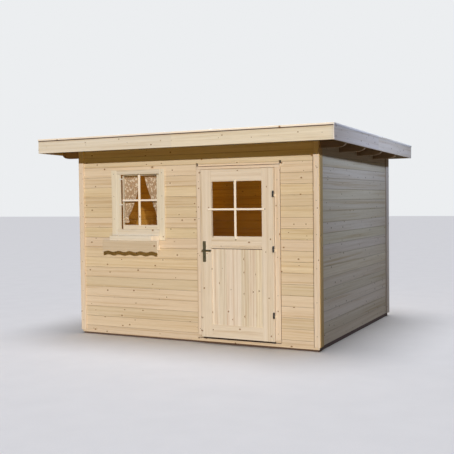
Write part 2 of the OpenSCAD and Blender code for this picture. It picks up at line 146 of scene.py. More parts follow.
class ShedStage(bpy.types.PropertyGroup):
    """Camera and light."""

    camera_at: FloatVectorProperty(
        name="Camera", description="Place of the camera", default=(4.326, -8.919, 1.631),
        subtype="TRANSLATION")
    yaw: degrees("Yaw", "Turn of the view to the left", 26.67)
    pitch: degrees("Pitch", "Tilt of the view downward", 2.01)
    roll: degrees("Roll", "Turn of the view about its axis", -0.70)
    lens: amount("Lens", "Focal length on a 36 mm sensor, in millimetres", 60.71)
    key: amount("Key light", "Strength of the light on the front", 3.35)
    fill: amount("Fill light", "Strength of the golden light on the front", 0.52)
    side: amount("Side light", "Power of the cool lamp on the right", 72.0)
    back: amount("Back light", "Strength of the light on the hidden sides", 1.6)
    top: amount("Top light", "Strength of the broad light from above", 2.8)
    sky: amount("Sky light", "Strength of the light from all round", 0.07)
    room: FloatProperty(
        name="Room lamp", description="Power of the warm lamp inside", default=16.5, subtype="POWER")


def plug(tree, node, inputs):
    """Sets inputs of a node to values, or links them to sockets or to the first output of other nodes."""
    for key, value in inputs.items():
        if isinstance(value, bpy.types.Node):
            value = next(socket for socket in value.outputs if socket.enabled)
        if isinstance(value, bpy.types.NodeSocket):
            tree.links.new(value, node.inputs[key])
        else:
            node.inputs[key].default_value = value


def add(tree, kind, *values, **named):
    """Adds a node to a shader or geometry tree, with values or links for its first inputs.

    Names with a capital are further inputs, and the others are settings.
    """
    node = tree.nodes.new(kind)
    inputs = dict(enumerate(values))
    for key, value in named.items():
        if key[0].isupper():
            inputs[key.replace("_", " ")] = value
        else:
            setattr(node, key, value)
    plug(tree, node, inputs)
    return node


def new_object(name, mesh, *materials):
    """An object at the origin that shows a mesh, or a bmesh, which is then freed."""
    if isinstance(mesh, bmesh.types.BMesh):
        bm, mesh = mesh, bpy.data.meshes.new(name)
        bm.to_mesh(mesh)
        bm.free()
    for material in materials:
        mesh.materials.append(material)
    obj = bpy.data.objects.new(name, mesh)
    bpy.context.scene.collection.objects.link(obj)
    return obj


def merged_copy(node, name):
    """An object with a copy of a solid's mesh, its doubles merged and its flat faces joined."""
    bm = bmesh.new()
    bm.from_mesh(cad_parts[node].data)
    bmesh.ops.remove_doubles(bm, verts=bm.verts, dist=1e-5)
    bmesh.ops.dissolve_limit(bm, angle_limit=math.radians(1), verts=bm.verts, edges=bm.edges)
    return new_object(name, bm)


def settle(obj):
    """Turns an object's modifiers to plain mesh."""
    deps = bpy.context.evaluated_depsgraph_get()
    mesh = bpy.data.meshes.new_from_object(obj.evaluated_get(deps), depsgraph=deps)
    obj.modifiers.clear()
    obj.data = mesh
    if not mesh.polygons:
        raise RuntimeError(f"{obj.name} came out with no faces")
    return obj


def hand_over(obj, body, slot, *nodes):
    """Lets a piece ride on a body, in place of solids where it stands for some. slot is not used."""
    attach(obj, body)
    if nodes:
        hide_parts(*nodes)
    return obj


def paint(node, material):
    """Gives a solid that stays as it is a material."""
    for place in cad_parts[node].material_slots:
        place.material = material


def second(obj, material, test):
    """Gives a second material to those faces of an object that pass a test."""
    obj.data.materials.append(material)
    for face in obj.data.polygons:
        face.material_index = int(test(face))


def skin(bm, rows, closed=True):
    """Faces from each row of points to the next. Closed rows are rings."""
    for row, after in zip(rows, rows[1:]):
        for number in range(len(row) if closed else len(row) - 1):
            follow = (number + 1) % len(row)
            bm.faces.new((row[number], after[number], after[follow], row[follow]))


def spruce(tree, colour, grain, boards=None, inside=None, line=0.4,
           streaks=(0.28, 0.70, (0.80, 0.70, 0.56), 33.0)):
    """Planed spruce: pale, with darker growth streaks along the grain and small brown knots.

    grain is the axis it runs along. boards, as (axis, start, width), gives each board its own tone and grain
    and a dark line at its joints, as strong as line. inside is the colour of inward faces, as painted room
    shade.
    streaks are the ends of the range in which the growth streaks show, their tint and how many there are to
    the metre: 33 as on flat-sawn boards.
    """
    place = add(tree, "ShaderNodeTexCoord").outputs
    axes = add(tree, "ShaderNodeSeparateXYZ", place["Object"]).outputs
    side, deep = axes[(grain + 1) % 3], axes[(grain + 2) % 3]
    across = add(tree, "ShaderNodeMath", side, deep, operation="ADD")
    facing = add(tree, "ShaderNodeSeparateXYZ", place["Normal"]).outputs[grain]
    facing = add(tree, "ShaderNodeMath", facing, operation="ABSOLUTE")
    end = add(tree, "ShaderNodeMath", facing, 0.8, operation="GREATER_THAN")
    axis, start, width = boards or (grain, 0.0, 1000.0)
    steps = add(tree, "ShaderNodeMath", axes[axis], 1 / width, -start / width, operation="MULTIPLY_ADD")
    number = add(tree, "ShaderNodeMath", steps, operation="FLOOR")
    chance = add(tree, "ShaderNodeTexWhiteNoise", W=number, noise_dimensions="1D").outputs
    shift = add(tree, "ShaderNodeMath", chance["Value"], 41.0, operation="MULTIPLY")
    along = add(tree, "ShaderNodeMath", axes[grain], shift, operation="ADD")

    # Knots: a chance of 65% in each field of 230 by 121 mm, none in end grain, 8 to 21 mm across and a
    # quarter longer along the grain, which bends round them
    field_long, field_wide, drawn_long = 0.23, 0.121, 0.18
    field = add(tree, "ShaderNodeCombineXYZ",
                add(tree, "ShaderNodeMath", along, 1 / field_long, operation="MULTIPLY"),
                add(tree, "ShaderNodeMath", across, 1 / field_wide, shift, operation="MULTIPLY_ADD"))
    cells = add(tree, "ShaderNodeTexVoronoi", field, Scale=1.0, voronoi_dimensions="2D").outputs
    offset = add(tree, "ShaderNodeVectorMath", field, cells["Position"], operation="SUBTRACT")
    offset = add(tree, "ShaderNodeVectorMath", offset, (drawn_long, field_wide, 0.0), operation="MULTIPLY")
    reach = add(tree, "ShaderNodeVectorMath", offset, operation="LENGTH")
    dice = add(tree, "ShaderNodeSeparateColor", cells["Color"]).outputs
    share = add(tree, "ShaderNodeMath", end, -1.0, 0.65, operation="MULTIPLY_ADD")
    there = add(tree, "ShaderNodeMath", dice[0], share, operation="LESS_THAN")
    radius = add(tree, "ShaderNodeMapRange", dice[1], 0.0, 1.0, 0.004, 0.0105)
    ratio = add(tree, "ShaderNodeMath", reach, radius, operation="DIVIDE")
    spot = add(tree, "ShaderNodeMapRange", ratio, 0.6, 1.2, 1.0, 0.0, interpolation_type="SMOOTHSTEP")
    knot = add(tree, "ShaderNodeMath", spot, there, operation="MULTIPLY")
    swirl = add(tree, "ShaderNodeMapRange", ratio, 0.8, 3.6, 0.012, 0.0, interpolation_type="SMOOTHSTEP")
    swirl = add(tree, "ShaderNodeMath", swirl, there, operation="MULTIPLY")
    bent = add(tree, "ShaderNodeMath", side, swirl, operation="ADD")

    # Growth streaks, and fibres 3 mm wide
    dark, pale, tint, dense = streaks
    noises = []
    for stretch, close, detail in (
            (0.6, dense, {"Detail": 4.0, "Roughness": 0.6, "Distortion": 0.4}),
            (9.0, 330.0, {"Detail": 2.0})):
        spread = add(tree, "ShaderNodeCombineXYZ",
                     add(tree, "ShaderNodeMath", along, stretch, operation="MULTIPLY"),
                     add(tree, "ShaderNodeMath", bent, close, operation="MULTIPLY"),
                     add(tree, "ShaderNodeMath", deep, close, shift, operation="MULTIPLY_ADD"))
        noises.append(add(tree, "ShaderNodeTexNoise", spread, Scale=1.0, **detail))
    streak, fibre = noises
    ramp = add(tree, "ShaderNodeValToRGB", streak)
    stops = ramp.color_ramp.elements
    stops[0].position, stops[0].color = dark, tinted(colour, *tint)
    stops[1].position, stops[1].color = pale, tinted(colour, 1.06, 1.07, 1.08)
    stops.new(0.46).color = tinted(colour, 0.97, 0.95, 0.90)

    # Tone by board, fibre and end grain, and a little hue by board
    tone = add(tree, "ShaderNodeMapRange", chance["Value"], 0.0, 1.0, 0.93, 1.05)
    for change in (add(tree, "ShaderNodeMapRange", fibre, 0.3, 0.7, 0.93, 1.04),
                   add(tree, "ShaderNodeMapRange", end, 0.0, 1.0, 1.0, 0.72)):
        tone = add(tree, "ShaderNodeMath", tone, change, operation="MULTIPLY")
    look = add(tree, "ShaderNodeVectorMath", ramp, Scale=tone, operation="SCALE")
    hue = add(tree, "ShaderNodeSeparateColor", chance["Color"]).outputs
    warmth = add(tree, "ShaderNodeCombineXYZ", 1.0,
                 add(tree, "ShaderNodeMapRange", hue[1], 0.0, 1.0, 0.975, 1.0),
                 add(tree, "ShaderNodeMapRange", hue[2], 0.0, 1.0, 0.96, 1.08))
    look = add(tree, "ShaderNodeVectorMath", look, warmth, operation="MULTIPLY")
    ring = add(tree, "ShaderNodeMapRange", ratio, 0.5, 1.0)
    heart = add(tree, "ShaderNodeMix", ring, A=tinted(colour, 0.42, 0.27, 0.16),
                B=tinted(colour, 0.17, 0.10, 0.06), data_type="RGBA")
    look = add(tree, "ShaderNodeMix", knot, A=look, B=heart, data_type="RGBA")
    if boards:
        edge = add(tree, "ShaderNodeMath", steps, 0.5, operation="PINGPONG")
        edge = add(tree, "ShaderNodeMapRange", edge, 0.001 / width, 0.004 / width, line, 0.0,
                   interpolation_type="SMOOTHSTEP")
        look = add(tree, "ShaderNodeMix", edge, A=look, B=tinted(colour, 0.22, 0.15, 0.09), data_type="RGBA")
    # Painted shade: faces that look into the room are tinted to the inside colour, darker and golden.
    if inside is not None:
        behind = 0.007
        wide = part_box("right_wall")[0].x + behind
        near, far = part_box("front_wall_left")[1].y - behind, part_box("back_wall")[0].y + behind
        in_x = add(tree, "ShaderNodeMath", axes[X], 0.0, wide, operation="COMPARE")
        in_y = add(tree, "ShaderNodeMath", axes[Y], (near + far) / 2, (far - near) / 2, operation="COMPARE")
        room = add(tree, "ShaderNodeMath", in_x, in_y, operation="MULTIPLY")
        tint = [a / b for a, b in zip(inside, colour)]
        golden = add(tree, "ShaderNodeVectorMath", look, tint, operation="MULTIPLY")
        look = add(tree, "ShaderNodeMix", room, A=look, B=golden, data_type="RGBA")
    height = add(tree, "ShaderNodeMath", fibre, 0.5, streak, operation="MULTIPLY_ADD")
    return {
        "Base Color": look,
        "Roughness": add(tree, "ShaderNodeMapRange", streak, 0.3, 0.7, 0.74, 0.58),
        "Normal": add(tree, "ShaderNodeBump", Height=height, Strength=0.3, Distance=0.001)}


def coated(tree, colour, rough, grit, change, metallic=0.0):
    """A surface of one stuff with fine grit: powder coat, zinc plating, mineral felt or a studio floor.

    grit is the size of its grains in metres, and change how far its tone wanders.
    """
    place = add(tree, "ShaderNodeTexCoord").outputs["Object"]
    grain = add(tree, "ShaderNodeTexNoise", place, Scale=1 / grit, Detail=3.0)
    cloud = add(tree, "ShaderNodeTexNoise", place, Scale=3.0, Detail=4.0)
    both = add(tree, "ShaderNodeMath", grain, cloud, operation="ADD")
    tone = add(tree, "ShaderNodeMapRange", both, 0.6, 1.4, 1 - change, 1 + change)
    return {
        "Metallic": metallic,
        "Base Color": add(tree, "ShaderNodeVectorMath", tuple(colour), Scale=tone, operation="SCALE"),
        "Roughness": add(tree, "ShaderNodeMapRange", both, 0.6, 1.4, rough + 0.08, rough - 0.08),
        "Normal": add(tree, "ShaderNodeBump", Height=grain, Strength=0.25, Distance=grit / 3)}


def float_glass(tree, colour):
    """Float glass: nearly clear, with a faint tint, and smudges that show in its gloss."""
    place = add(tree, "ShaderNodeTexCoord").outputs["Object"]
    smudge = add(tree, "ShaderNodeTexNoise", place, Scale=9.0, Detail=4.0)
    return {
        "Base Color": tinted(colour),
        "IOR": 1.45,
        "Roughness": add(tree, "ShaderNodeMapRange", smudge, 0.35, 0.7, 0.02, 0.12),
        "Alpha": add(tree, "ShaderNodeMapRange", smudge, 0.3, 0.7, 0.03, 0.07)}


def lace(tree, colour):
    """Cotton lace: an open net with closer woven blossoms and a firm hem, on the cloth's own map in metres.

    The net's holes are 6 mm, drawn coarser than real net so that they show, and the blossoms 45 mm apart.
    """
    hole, blossom = 0.006, 0.045
    place = add(tree, "ShaderNodeUVMap", uv_map="Cloth")
    drift = add(tree, "ShaderNodeTexNoise", place, Scale=40.0, Detail=2.0).outputs["Color"]
    spread = add(tree, "ShaderNodeVectorMath", drift, (0.05, 0.05, 0.0), place, operation="MULTIPLY_ADD")
    net = add(tree, "ShaderNodeTexVoronoi", place, Scale=1 / hole, Randomness=0.25, voronoi_dimensions="2D",
              feature="DISTANCE_TO_EDGE")
    strand = add(tree, "ShaderNodeMapRange", net, 0.10, 0.22, 1.0, 0.24)
    bloom = add(tree, "ShaderNodeTexVoronoi", spread, Scale=1 / blossom, Randomness=1.0,
                voronoi_dimensions="2D")
    petal = add(tree, "ShaderNodeMapRange", bloom, 0.22, 0.36, 1.0, 0.0)
    cover = add(tree, "ShaderNodeMath", strand, petal, operation="MAXIMUM")
    firm = add(tree, "ShaderNodeAttribute", attribute_name="hem").outputs["Fac"]
    cover = add(tree, "ShaderNodeMath", cover, firm, operation="MAXIMUM")
    thread = add(tree, "ShaderNodeMix", petal, A=tinted(colour, 0.82, 0.70, 0.60), B=tinted(colour),
                 data_type="RGBA")
    return {
        "Base Color": thread,
        "Roughness": 0.9,
        "Sheen Weight": 0.3,
        "Alpha": cover,
        "Normal": add(tree, "ShaderNodeBump", Height=cover, Strength=0.4, Distance=0.001)}


def finish(name, maker, *values, **named):
    """A material by name. It is made on first use, and maker gives what goes into its shader."""
    material = bpy.data.materials.get(name)
    if not material:
        material = bpy.data.materials.new(name)
        material.use_nodes = True
        tree = material.node_tree
        plug(tree, tree.nodes["Principled BSDF"], maker(tree, *values, **named))
    return material


def wood(part, grain):
    """Spruce of the colour of a part of the shed, with the grain along an axis."""
    colour = getattr(bpy.context.scene.shed_colours, part)
    return finish(f"spruce_{part}_{'xyz'[grain]}", spruce, colour, grain)


def new_tree(name, output, *inputs):
    """An empty Geometry Nodes tree, and the sockets of its inputs, which are given as name and kind."""
    tree = bpy.data.node_groups.new(name, "GeometryNodeTree")
    for label, kind in inputs:
        tree.interface.new_socket(label, in_out="INPUT", socket_type=f"NodeSocket{kind}")
    tree.interface.new_socket(output, in_out="OUTPUT", socket_type="NodeSocketGeometry")
    return tree, add(tree, "NodeGroupInput").outputs


def put_on(tree, points, shape, turn):
    """Puts a turned copy of a shape on each point."""
    turn = add(tree, "FunctionNodeEulerToRotation", turn)
    return add(tree, "GeometryNodeInstanceOnPoints", Points=points, Instance=shape, Rotation=turn)


def end_tree(tree, shape, material):
    """Ends a tree with a plain mesh of one material."""
    plain = add(tree, "GeometryNodeRealizeInstances", shape)
    add(tree, "NodeGroupOutput", add(tree, "GeometryNodeSetMaterial", Geometry=plain, Material=material))
    return tree


def joint_tree(name):
    """Geometry Nodes that cut V joints into both faces of a boarded solid."""
    tree, given = new_tree(
        name, "Boards", ("Boards", "Geometry"), ("First joint", "Vector"), ("Step", "Vector"),
        ("Other face", "Vector"), ("Turn", "Vector"), ("Length", "Float"), ("Depth", "Float"),
        ("Count", "Int"), ("Wood", "Material"))
    row = add(tree, "GeometryNodeMeshLine", Count=given["Count"], Start_Location=given["First joint"],
              Offset=given["Step"], mode="OFFSET")
    rows = add(tree, "GeometryNodeJoinGeometry", row)
    plug(tree, rows, {0: add(tree, "GeometryNodeTransform", Geometry=row, Translation=given["Other face"])})
    bar = add(tree, "GeometryNodeMeshCylinder", Vertices=4, Radius=given["Depth"], Depth=given["Length"])
    cutters = add(tree, "GeometryNodeRealizeInstances", put_on(tree, rows, bar, given["Turn"]))
    cut = add(tree, "GeometryNodeMeshBoolean", Mesh_1=given["Boards"], Mesh_2=cutters,
              operation="DIFFERENCE", solver="EXACT")
    return end_tree(tree, cut, given["Wood"])


def screw_tree(name):
    """Geometry Nodes that put a low countersunk head on each point."""
    tree, given = new_tree(
        name, "Screws", ("Places", "Geometry"), ("Turn", "Vector"), ("Diameter", "Float"),
        ("Metal", "Material"))
    radius = add(tree, "ShaderNodeMath", given["Diameter"], 0.5, operation="MULTIPLY")
    crown = add(tree, "ShaderNodeMath", radius, 0.75, operation="MULTIPLY")
    head = add(tree, "GeometryNodeMeshCone", Vertices=12, Radius_Top=crown, Radius_Bottom=radius,
               Depth=0.0016)
    return end_tree(tree, put_on(tree, given["Places"], head, given["Turn"]), given["Metal"])


def run_tree(obj, name, maker, **values):
    """Runs a Geometry Nodes tree on an object and keeps the result as plain mesh. It is made on first use."""
    tree = bpy.data.node_groups.get(name) or maker(name)
    modifier = obj.modifiers.new(name, "NODES")
    modifier.node_group = tree
    for socket in tree.interface.items_tree:
        key = socket.name.replace(" ", "_").lower()
        if socket.in_out == "INPUT" and key in values:
            modifier[socket.identifier] = values[key]
    return settle(obj)


def cut_joints(node, body, slot, material, axis, grain, thick, first, pitch, share=1.0):
    """Cuts V joints into a boarded solid: boards stand side by side along axis, their grain along grain.

    share is how deep the joints are, against those of the walls.
    """
    sizes = bpy.context.scene.shed_sizes
    margin, overrun, half_roof_board = 0.002, 0.1, 0.009
    low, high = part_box(node)
    count = math.ceil((high[axis] - margin - first) / pitch)
    skipped = max(0, math.ceil((low[axis] + margin - first) / pitch))
    obj = merged_copy(node, f"{node}_boards")
    if count > skipped:
        start, step, other = (low + high) / 2, Vector((0, 0, 0)), Vector((0, 0, 0))
        turn = {X: (0.0, QUARTER, 0.0), Y: (QUARTER, 0.0, 0.0), Z: (0.0, 0.0, 0.0)}[grain]
        if node == "roof_deck":
            lift = half_roof_board * Vector((0, math.sin(sizes.roof_fall), math.cos(sizes.roof_fall)))
            start -= lift
            other = 2 * lift
            turn = (QUARTER - sizes.roof_fall, 0.0, 0.0)
        else:
            start[thick] = low[thick]
            other[thick] = high[thick] - low[thick]
        start[axis] = first + skipped * pitch
        step[axis] = pitch
        run_tree(obj, "Board joints", joint_tree, first_joint=tuple(start), step=tuple(step),
                 other_face=tuple(other), turn=turn, length=high[grain] - low[grain] + overrun,
                 depth=share * sizes.joint, count=count - skipped, wood=material)
    else:
        obj.data.materials.append(material)
    return hand_over(obj, body, slot, node)


def eased_copy(node, body, slot, material, ease):
    """A copy of a timber solid with its sharp edges rounded, in place of the solid."""
    obj = merged_copy(node, f"{node}_eased")
    edge = obj.modifiers.new("Eased edges", "BEVEL")
    edge.width, edge.segments, edge.limit_method, edge.angle_limit = ease, 2, "ANGLE", math.radians(40)
    settle(obj)
    obj.data.materials.clear()
    obj.data.materials.append(material)
    return hand_over(obj, body, slot, node)


def timber(name, body, slot, pieces, materials, ease, *nodes):
    """One object of planed pieces with eased edges, in place of solids where it stands for some.

    Each piece is given by two corners and the number of its material.
    """
    bm = bmesh.new()
    for low, high, number in pieces:
        low, high = Vector(low), Vector(high)
        size = high - low
        made = bmesh.ops.create_cube(bm, size=1.0, matrix=Matrix.LocRotScale(
            (low + high) / 2, None, size))["verts"]
        for face in {face for vert in made for face in vert.link_faces}:
            face.material_index = number
        edges = list({edge for vert in made for edge in vert.link_edges})
        bmesh.ops.bevel(bm, geom=edges, offset=min(ease, min(size) / 3), segments=2, profile=0.5,
                        affect="EDGES", material=-1)
    return hand_over(new_object(name, bm, *materials), body, slot, *nodes)


def drive_screws(name, body, places, turn, diameter, metal):
    """Screw heads at places on a body, turned to look out of its face."""
    mesh = bpy.data.meshes.new(name)
    mesh.from_pydata(places, [], [])
    heads = run_tree(new_object(name, mesh), "Screw heads", screw_tree, turn=turn, diameter=diameter,
                     metal=metal)
    return hand_over(heads, body, "black_metal")


class SHED_OT_board_walls(bpy.types.Operator):
    """Walls, floor, roof boards and door panel with the joints between their boards"""

    bl_idname = "shed.board_walls"
    bl_label = "Boarded surfaces"

    def execute(self, context):
        sizes, colours = context.scene.shed_sizes, context.scene.shed_colours
        course, inside = sizes.course, colours.inside
        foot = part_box("back_wall")[0].z
        half_up = foot + course / 2
        front = finish("spruce_wall_front", spruce, colours.wall, X, boards=(Z, half_up, course),
                       inside=inside)
        side = finish("spruce_wall_side", spruce, colours.wall, Y, boards=(Z, foot, course), inside=inside)
        for node in ("front_wall_left", "front_wall_right", "front_wall_over_door", "front_wall_under_door",
                     "back_wall"):
            cut_joints(node, "shed", "wall_wood", front, Z, X, Y, half_up, course)
        for node in ("left_wall", "right_wall"):
            cut_joints(node, "shed", "wall_wood", side, Z, Y, X, foot + course, course)

        # The roof boards take a colour darkened as painted shade under the roof; the floor boards keep the
        # wall colour.
        for node, width, colour in (("floor_boards", sizes.floor_board, colours.wall),
                                    ("roof_deck", sizes.roof_board, colours.eaves_painted_shade)):
            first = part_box(node)[0].x + width
            boards = finish(f"spruce_{node}", spruce, colour, Y, boards=(X, first, width), inside=inside)
            cut_joints(node, "shed", "inner_wood", boards, X, Y, Z, first, width)

        # The panel's boards are narrow and close-grained, with shallow joints
        low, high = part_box("door_panel")
        width = (high.x - low.x) / sizes.panel_boards
        panel = finish("spruce_door_panel", spruce, colours.door, Z, boards=(X, low.x, width),
                       line=0.15, streaks=(0.34, 0.62, (0.82, 0.68, 0.57), 60.0))
        cut_joints("door_panel", "door", "door_wood", panel, X, Z, Y, low.x + width, width, share=0.4)
        return {"FINISHED"}


class SHED_OT_planed_timber(bpy.types.Operator):
    """Trim, fascia, base and door timber with eased edges and grain along each piece"""

    bl_idname = "shed.planed_timber"
    bl_label = "Planed timber"

    def execute(self, context):
        ease, colours = context.scene.shed_sizes.ease, context.scene.shed_colours
        for corner in ("front_left", "front_right", "back_left", "back_right"):
            board = eased_copy(f"corner_trim_{corner}", "shed", "trim_wood", wood("trim", Z), ease)
            if corner == "front_right":
                # Painted shade: the right-facing side of this board is golden and darker than the wall beside
                # it.
                second(board, wood("edge", Z), lambda face: abs(face.normal.x) > 0.9)
        for node, grain in (("door_frame_left", Z), ("door_frame_right", Z), ("door_frame_head", X),
                            ("door_threshold", X)):
            eased_copy(node, "shed", "trim_wood", wood("trim", grain), ease)
        for place, part, grain in (("front", "window", X), ("back", "window", X), ("left", "trim", Y),
                                   ("right", "trim", Y)):
            board = eased_copy(f"fascia_{place}", "shed", "wall_wood", wood(part, grain), ease)
            eased_copy(f"roof_cap_{place}", "shed", "trim_wood", wood("bar", grain), ease)
            if place == "front":
                # Painted highlight: the ends of the front fascia take the pale bar colour, as if lit at the
                # corner.
                second(board, wood("bar", Z), lambda face: abs(face.normal.x) > 0.3)

        # Painted shadow: a dark line between the front fascia and the cap over it, where the cap's shadow
        # falls
        low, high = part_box("fascia_front")
        inset, proud, deep, below, above = 0.002, 0.0008, 0.006, 0.010, 0.0012
        timber("roof_cap_gap", "shed", "trim_wood", [
            ((low.x + inset, low.y - proud, high.z - below),
             (high.x - inset, low.y + deep, high.z - above), 0)], [wood("treated", X)], 0.0)

        # Purlins: darker than the wall boards, in part as painted shade under the roof.
        sawn = finish("spruce_purlin", spruce, colours.purlin, X, inside=colours.inside)
        for number in (1, 2, 3, 4):
            eased_copy(f"purlin_{number}", "shed", "inner_wood", sawn, ease)
        # The board's colour is a little darker than the wall boards, in part as painted shade.
        board = finish("spruce_flower_box", spruce, colours.box, X)
        for node, face_wood in (("flower_box_tray", wood("window", X)), ("flower_box_front", board)):
            box = eased_copy(node, "shed", "trim_wood", face_wood, ease)
            # Painted light: the ends of tray and board take the pale bar colour, lit as the front is.
            second(box, wood("bar", Z), lambda face: abs(face.normal.x) > 0.9)

        eased_copy("base_beams", "shed", "treated_wood", wood("treated", X), ease)
        low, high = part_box("base_beams")
        past, thick, clear, foot = 0.012, 0.0105, 0.0005, 0.020
        timber("front_plinth", "shed", "wall_wood", [
            ((low.x - past, low.y - thick, foot), (high.x + past, low.y - clear, high.z - clear), 0)],
            [wood("wall", X)], ease)
        eased_copy("base_joists", "shed", "treated_wood", wood("treated", Y), ease)
        eased_copy("door_stiles", "door", "door_wood", wood("door", Z), ease)
        eased_copy("door_rails", "door", "door_wood", wood("door", X), ease)
        return {"FINISHED"}


class SHED_OT_window(bpy.types.Operator):
    """Window casing and sash board by board, glazing bars, pane and sash hinges"""

    bl_idname = "shed.window"
    bl_label = "Window"

    def execute(self, context):
        ease, colours = context.scene.shed_sizes.ease, context.scene.shed_colours
        pale = [wood("window", X), wood("window", Z)]
        low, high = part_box("window_casing")
        left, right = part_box("window_sash")
        gap, over, slit, jamb_width = 0.0005, 0.014, 0.006, 0.057
        jamb = left.x + jamb_width
        timber("window_casing_boards", "shed", "trim_wood", [
            (low, (left.x, high.y, high.z), 1),
            ((right.x, low.y, low.z), high, 1),
            ((left.x + gap, low.y, right.z - over), (right.x - gap, high.y, high.z), 0),
            ((left.x + gap, low.y, low.z), (right.x - gap, high.y, left.z), 0),
            ((left.x + gap, low.y, left.z + gap), (jamb, high.y, right.z - over - gap), 1)],
            pale, ease, "window_casing")

        inset = Vector((HOLD, 0, HOLD))
        open_low, open_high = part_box("window_glass")[0] + inset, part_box("window_glass")[1] - inset
        timber("window_sash_frame", "shed", "trim_wood", [
            ((jamb + slit, left.y, left.z), (open_low.x, right.y, right.z), 1),
            ((open_high.x, left.y, left.z), right, 1),
            ((open_low.x, left.y, open_high.z), (open_high.x, right.y, right.z), 0),
            ((open_low.x, left.y, left.z), (open_high.x, right.y, open_low.z), 0)], pale, ease, "window_sash")

        middle = (open_low + open_high) / 2
        upright, cross, proud, lap = 0.0145, 0.011, 0.012, 0.010
        bars = [((middle.x - upright, left.y - proud, open_low.z - lap),
                 (middle.x + upright, left.y, open_high.z + lap), 1)]
        for start, end in ((open_low.x, middle.x - upright), (middle.x + upright, open_high.x + lap)):
            bars.append(((start, left.y - proud, middle.z - cross), (end, left.y, middle.z + cross), 0))
        timber("window_bars", "shed", "trim_wood", bars, [wood("bar", X), wood("bar", Z)], ease)
        paint("window_glass", finish("float_glass", float_glass, colours.glass))

        # Sash hinges: a pin with a ball at each end, and a leaf to each side of it
        plate = finish("zinc_plate", coated, colours.zinc, rough=0.38, grit=0.002, change=0.08)
        pin, pin_length, ball, pin_end = 0.004, 0.022, 0.0045, 0.012
        leaf, leaf_at, leaf_ease = Vector((0.022, 0.002, 0.014)), 0.014, 0.0006
        bm = bmesh.new()
        for height in (0.296, 0.600):
            axis = Vector((jamb + slit / 2, low.y - pin, left.z + height))
            bmesh.ops.create_cone(bm, cap_ends=True, segments=16, radius1=pin, radius2=pin, depth=pin_length,
                                  matrix=Matrix.Translation(axis))
            for end in (-pin_end, pin_end):
                bmesh.ops.create_icosphere(bm, subdivisions=1, radius=ball,
                                           matrix=Matrix.Translation(axis + Vector((0, 0, end))))
            for aside in (-leaf_at, leaf_at):
                place = Vector((axis.x + aside, low.y - leaf.y / 2, axis.z))
                made = bmesh.ops.create_cube(
                    bm, size=1.0, matrix=Matrix.LocRotScale(place, None, leaf))["verts"]
                edges = list({edge for vert in made for edge in vert.link_edges})
                bmesh.ops.bevel(bm, geom=edges, offset=leaf_ease, segments=1, affect="EDGES")
        hand_over(new_object("window_hinges", bm, plate), "shed", "black_metal")
        return {"FINISHED"}


